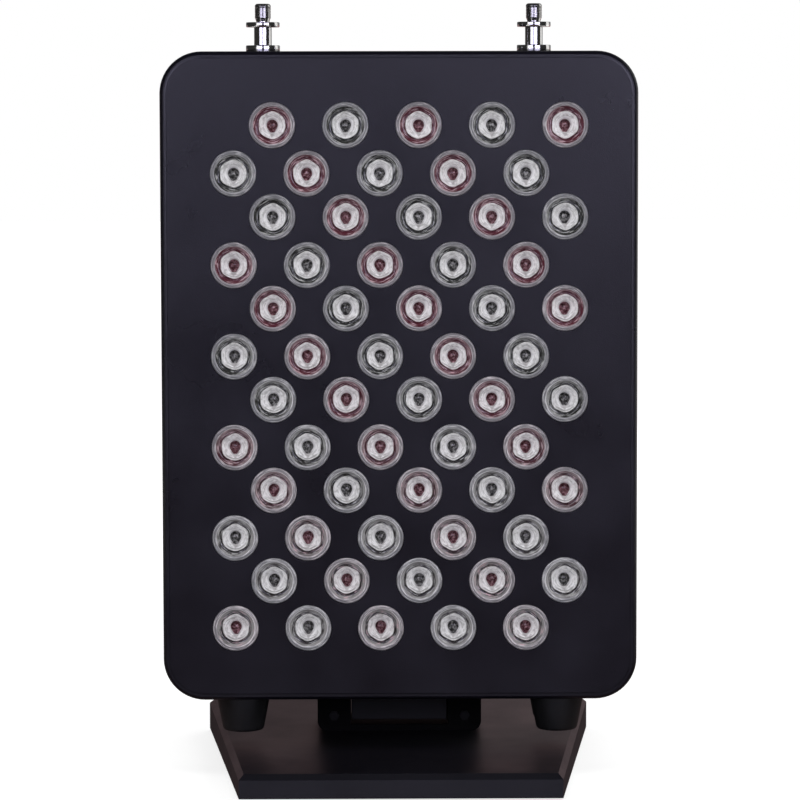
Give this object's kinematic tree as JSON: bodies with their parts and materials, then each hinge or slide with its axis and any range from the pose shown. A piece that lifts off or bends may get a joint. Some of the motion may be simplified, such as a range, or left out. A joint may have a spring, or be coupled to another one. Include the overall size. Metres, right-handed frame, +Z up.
{
  "type": "red light therapy panel",
  "caption": "Upright red and near infrared lamp panel with round lenses in staggered rows, hanging studs and rubber feet, tilting on a low trapezoid table stand.",
  "frame": {"origin": "on the table, under the middle of the base", "axes": "+X to the right of the lit face as a user faces it, the lit face looks to -Y, +Z up"},
  "size_m": [0.228, 0.194, 0.3765],
  "materials": {
    "black_powder_coat": "satin black powder coat, fine grained",
    "cast_black": "satin black coat on cast aluminium",
    "zinc_steel": "zinc plated steel",
    "black_steel": "black oxide steel",
    "stainless": "turned and polished stainless steel",
    "black_rubber": "matt black rubber",
    "clear_lens": "clear moulded acrylic lens",
    "red_emitter": "red light emitter, unlit",
    "infrared_emitter": "near infrared emitter, unlit",
    "white_board": "white solder mask on aluminium core",
    "aluminium": "plain extruded aluminium",
    "black_plastic": "moulded black plastic",
    "fan_plastic": "moulded black fan plastic",
    "driver_case": "white plastic power supply case",
    "terminal_plastic": "natural nylon",
    "brass_pin": "plated brass contact",
    "rocker_plastic": "glossy black plastic"
  },
  "bodies": {
    "stand": {"base_shell": "black_powder_coat", "ballast_plate": "black_steel", "base_pads": "black_rubber", "hinge_yoke": "cast_black", "yoke_screws": "zinc_steel", "pinch_screws": "black_steel", "hinge_pin": "zinc_steel"},
    "panel": {"tilt_arm": "cast_black", "arm_screws": "stainless", "front_housing": "black_powder_coat", "back_cover": "black_powder_coat", "cover_screws": "black_steel", "red_lenses": "clear_lens", "infrared_lenses": "clear_lens", "red_emitters": "red_emitter", "infrared_emitters": "infrared_emitter", "emitter_board": "white_board", "board_standoffs": "zinc_steel", "heat_sink": "aluminium", "fan_frames": "fan_plastic", "driver_left": "driver_case", "driver_right": "driver_case", "terminal_block": "terminal_plastic", "power_inlet": "black_plastic", "inlet_pins": "brass_pin", "switch_bodies": "black_plastic", "hanging_studs": "stainless", "stud_nuts": "zinc_steel", "panel_feet": "black_rubber"},
    "fan_left": {"fan_rotor_left": "fan_plastic"},
    "fan_right": {"fan_rotor_right": "fan_plastic"},
    "red_switch": {"rocker_red": "rocker_plastic"},
    "infrared_switch": {"rocker_infrared": "rocker_plastic"}
  },
  "joints": [
    {"name": "panel_tilt", "type": "hinge", "parent": "stand", "child": "panel", "pos_m": [0, 0.025, 0.035], "axis": [-1, 0, 0], "range_deg": [-5, 30]},
    {"name": "fan_left_spin", "type": "hinge", "parent": "panel", "child": "fan_left", "pos_m": [-0.048, -0.008, 0.2679], "axis": [0, 1, 0], "continuous": true},
    {"name": "fan_right_spin", "type": "hinge", "parent": "panel", "child": "fan_right", "pos_m": [0.048, -0.008, 0.2679], "axis": [0, 1, 0], "continuous": true},
    {"name": "red_switch_rock", "type": "hinge", "parent": "panel", "child": "red_switch", "pos_m": [0.077, 0.0026, 0.0969], "axis": [1, 0, 0], "range_deg": [0, 14]},
    {"name": "infrared_switch_rock", "type": "hinge", "parent": "panel", "child": "infrared_switch", "pos_m": [0.077, 0.0026, 0.0629], "axis": [1, 0, 0], "range_deg": [0, 14]}
  ]
}
